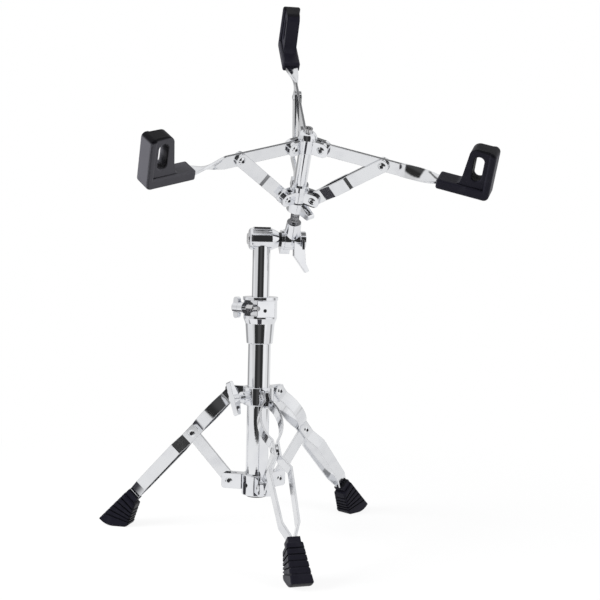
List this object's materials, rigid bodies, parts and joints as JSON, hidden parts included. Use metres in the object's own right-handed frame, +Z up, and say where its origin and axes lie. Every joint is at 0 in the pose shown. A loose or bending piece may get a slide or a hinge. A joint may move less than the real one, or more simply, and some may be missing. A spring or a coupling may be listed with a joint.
{
  "type": "snare drum stand",
  "caption": "Folding snare drum stand: double-braced tripod with rubber feet, telescoping column, tilter and a three-arm basket with rubber pads that grips a drum.",
  "frame": {"origin": "on the floor under the middle of the stand's outline; the column stands a little to one side of it", "axes": "+Z up along the column, +X along the tilter axle towards the basket post, -Y the side the basket tilts towards"},
  "size_m": [0.4313, 0.3559, 0.6782],
  "materials": {
    "chrome": "polished",
    "rubber": "satin",
    "nylon": "matte",
    "steel": "plated"
  },
  "bodies": {
    "base": {"base_tube": "chrome", "tube_plug": "nylon", "lower_collar": "chrome", "lower_collar_screw": "steel", "lower_rivets": "chrome", "height_clamp": "chrome", "clamp_bolt": "steel"},
    "clamp_handle": {"clamp_wing": "chrome"},
    "swivel": {"height_bush": "nylon"},
    "upper_column": {"upper_tube": "chrome", "tube_guide": "nylon", "tilter_barrel": "chrome", "tilter_bolt": "steel", "tilter_washer": "nylon"},
    "basket": {"tilter_head": "chrome", "basket_post": "chrome", "upper_hub": "chrome", "hub_screw": "steel", "hub_rivets": "chrome"},
    "tilter_handle": {"tilter_wing": "chrome"},
    "slider": {"slider_hub": "chrome", "slider_rivets": "chrome"},
    "knob": {"basket_knob": "chrome"},
    "collar": {"leg_collar": "chrome"},
    "collar_handle": {"collar_wing": "chrome"},
    "brace_unit_front": {"brace_front": "chrome"},
    "leg_unit_front": {"leg_front": "chrome", "leg_rivets_front": "chrome", "foot_front": "rubber"},
    "brace_unit_right": {"brace_right": "chrome"},
    "leg_unit_right": {"leg_right": "chrome", "leg_rivets_right": "chrome", "foot_right": "rubber"},
    "brace_unit_left": {"brace_left": "chrome"},
    "leg_unit_left": {"leg_left": "chrome", "leg_rivets_left": "chrome", "foot_left": "rubber"},
    "arm_unit_back": {"arm_back": "chrome", "pad_back": "rubber"},
    "stay_unit_back": {"stay_back": "chrome", "stay_rivets_back": "chrome"},
    "arm_unit_left": {"arm_left": "chrome", "pad_left": "rubber"},
    "stay_unit_left": {"stay_left": "chrome", "stay_rivets_left": "chrome"},
    "arm_unit_right": {"arm_right": "chrome", "pad_right": "rubber"},
    "stay_unit_right": {"stay_right": "chrome", "stay_rivets_right": "chrome"}
  },
  "joints": [
    {"name": "column_swivel", "type": "hinge", "parent": "base", "child": "swivel", "pos_m": [-0.0176, 0.0418, 0.274], "axis": [0, 0, 1], "continuous": true},
    {"name": "height_slide", "type": "slide", "parent": "swivel", "child": "upper_column", "axis": [0, 0, 1], "range_m": [-0.045, 0.105]},
    {"name": "tilt", "type": "hinge", "parent": "upper_column", "child": "basket", "pos_m": [0.0201, 0.0418, 0.3792], "axis": [1, 0, 0], "range_deg": [-110, 48]},
    {"name": "tilter_lock", "type": "hinge", "parent": "basket", "child": "tilter_handle", "pos_m": [0.0306, 0.0418, 0.3792], "axis": [1, 0, 0], "range_deg": [0, 60]},
    {"name": "height_lock", "type": "hinge", "parent": "base", "child": "clamp_handle", "pos_m": [-0.04321, 0.04258, 0.2926], "axis": [-0.682, 0.7314, 0], "range_deg": [-30, 30]},
    {"name": "collar_slide", "type": "slide", "parent": "base", "child": "collar", "axis": [0, 0, 1], "range_m": [-0.004, 0.0403]},
    {"name": "collar_lock", "type": "hinge", "parent": "collar", "child": "collar_handle", "pos_m": [-0.04094, 0.02459, 0.18158], "axis": [-0.8049, -0.5934, 0], "range_deg": [-90, 90]},
    {"name": "brace_front_fold", "type": "hinge", "parent": "base", "child": "brace_unit_front", "pos_m": [-0.01372, 0.00722, 0.0713], "axis": [0.9938, 0.1115, 0], "range_deg": [-38.96, 4.14]},
    {"name": "leg_front_fold", "type": "hinge", "parent": "brace_unit_front", "child": "leg_unit_front", "pos_m": [-0.00792, -0.04454, 0.12774], "axis": [0.9938, 0.1115, 0], "range_deg": [-8.27, 77.92]},
    {"name": "brace_right_fold", "type": "hinge", "parent": "base", "child": "brace_unit_right", "pos_m": [0.01041, 0.06245, 0.0713], "axis": [-0.5934, 0.8049, 0], "range_deg": [-38.96, 4.14]},
    {"name": "leg_right_fold", "type": "hinge", "parent": "brace_unit_right", "child": "leg_unit_right", "pos_m": [0.05233, 0.09336, 0.12774], "axis": [-0.5934, 0.8049, 0], "range_deg": [-8.27, 77.92]},
    {"name": "brace_left_fold", "type": "hinge", "parent": "base", "child": "brace_unit_left", "pos_m": [-0.04949, 0.05573, 0.0713], "axis": [-0.4003, -0.9164, 0], "range_deg": [-38.96, 4.14]},
    {"name": "leg_left_fold", "type": "hinge", "parent": "brace_unit_left", "child": "leg_unit_left", "pos_m": [-0.09722, 0.07658, 0.12774], "axis": [-0.4003, -0.9164, 0], "range_deg": [-8.27, 77.92]},
    {"name": "slider_slide", "type": "slide", "parent": "basket", "child": "slider", "axis": [0, -0.6211, 0.7837], "range_m": [-0.005, 0.029]},
    {"name": "knob_turn", "type": "hinge", "parent": "slider", "child": "knob", "pos_m": [0.0201, 0.00261, 0.42865], "axis": [0, -0.6211, 0.7837], "continuous": true},
    {"name": "arm_back_swing", "type": "hinge", "parent": "basket", "child": "arm_unit_back", "pos_m": [0.0201, -0.0315, 0.50421], "axis": [1, 0, 0], "range_deg": [-6.52, 35.92]},
    {"name": "stay_back_swing", "type": "hinge", "parent": "slider", "child": "stay_unit_back", "pos_m": [0.0201, 0.01322, 0.44778], "axis": [-1, 0, 0], "range_deg": [-12.01, 2.4]},
    {"name": "arm_left_swing", "type": "hinge", "parent": "basket", "child": "arm_unit_left", "pos_m": [0.00261, -0.05525, 0.48539], "axis": [-0.5, 0.6787, 0.5379], "range_deg": [-6.52, 35.92]},
    {"name": "stay_left_swing", "type": "hinge", "parent": "slider", "child": "stay_unit_left", "pos_m": [0.00261, -0.01053, 0.42896], "axis": [0.5, -0.6787, -0.5379], "range_deg": [-12.01, 2.4]},
    {"name": "arm_right_swing", "type": "hinge", "parent": "basket", "child": "arm_unit_right", "pos_m": [0.03759, -0.05525, 0.48539], "axis": [-0.5, -0.6787, -0.5379], "range_deg": [-6.52, 35.92]},
    {"name": "stay_right_swing", "type": "hinge", "parent": "slider", "child": "stay_unit_right", "pos_m": [0.03759, -0.01053, 0.42896], "axis": [0.5, 0.6787, 0.5379], "range_deg": [-12.01, 2.4]}
  ],
  "couplings": [
    {"joint": "brace_front_fold", "follows": "collar_slide", "rad_per_m": -16.743},
    {"joint": "leg_front_fold", "follows": "collar_slide", "rad_per_m": 33.485},
    {"joint": "brace_right_fold", "follows": "collar_slide", "rad_per_m": -16.743},
    {"joint": "leg_right_fold", "follows": "collar_slide", "rad_per_m": 33.485},
    {"joint": "brace_left_fold", "follows": "collar_slide", "rad_per_m": -16.743},
    {"joint": "leg_left_fold", "follows": "collar_slide", "rad_per_m": 33.485},
    {"joint": "arm_back_swing", "follows": "slider_slide", "rad_per_m": 21.376},
    {"joint": "stay_back_swing", "follows": "slider_slide", "rad_per_m": -6.9879},
    {"joint": "arm_left_swing", "follows": "slider_slide", "rad_per_m": 21.376},
    {"joint": "stay_left_swing", "follows": "slider_slide", "rad_per_m": -6.9879},
    {"joint": "arm_right_swing", "follows": "slider_slide", "rad_per_m": 21.376},
    {"joint": "stay_right_swing", "follows": "slider_slide", "rad_per_m": -6.9879}
  ]
}
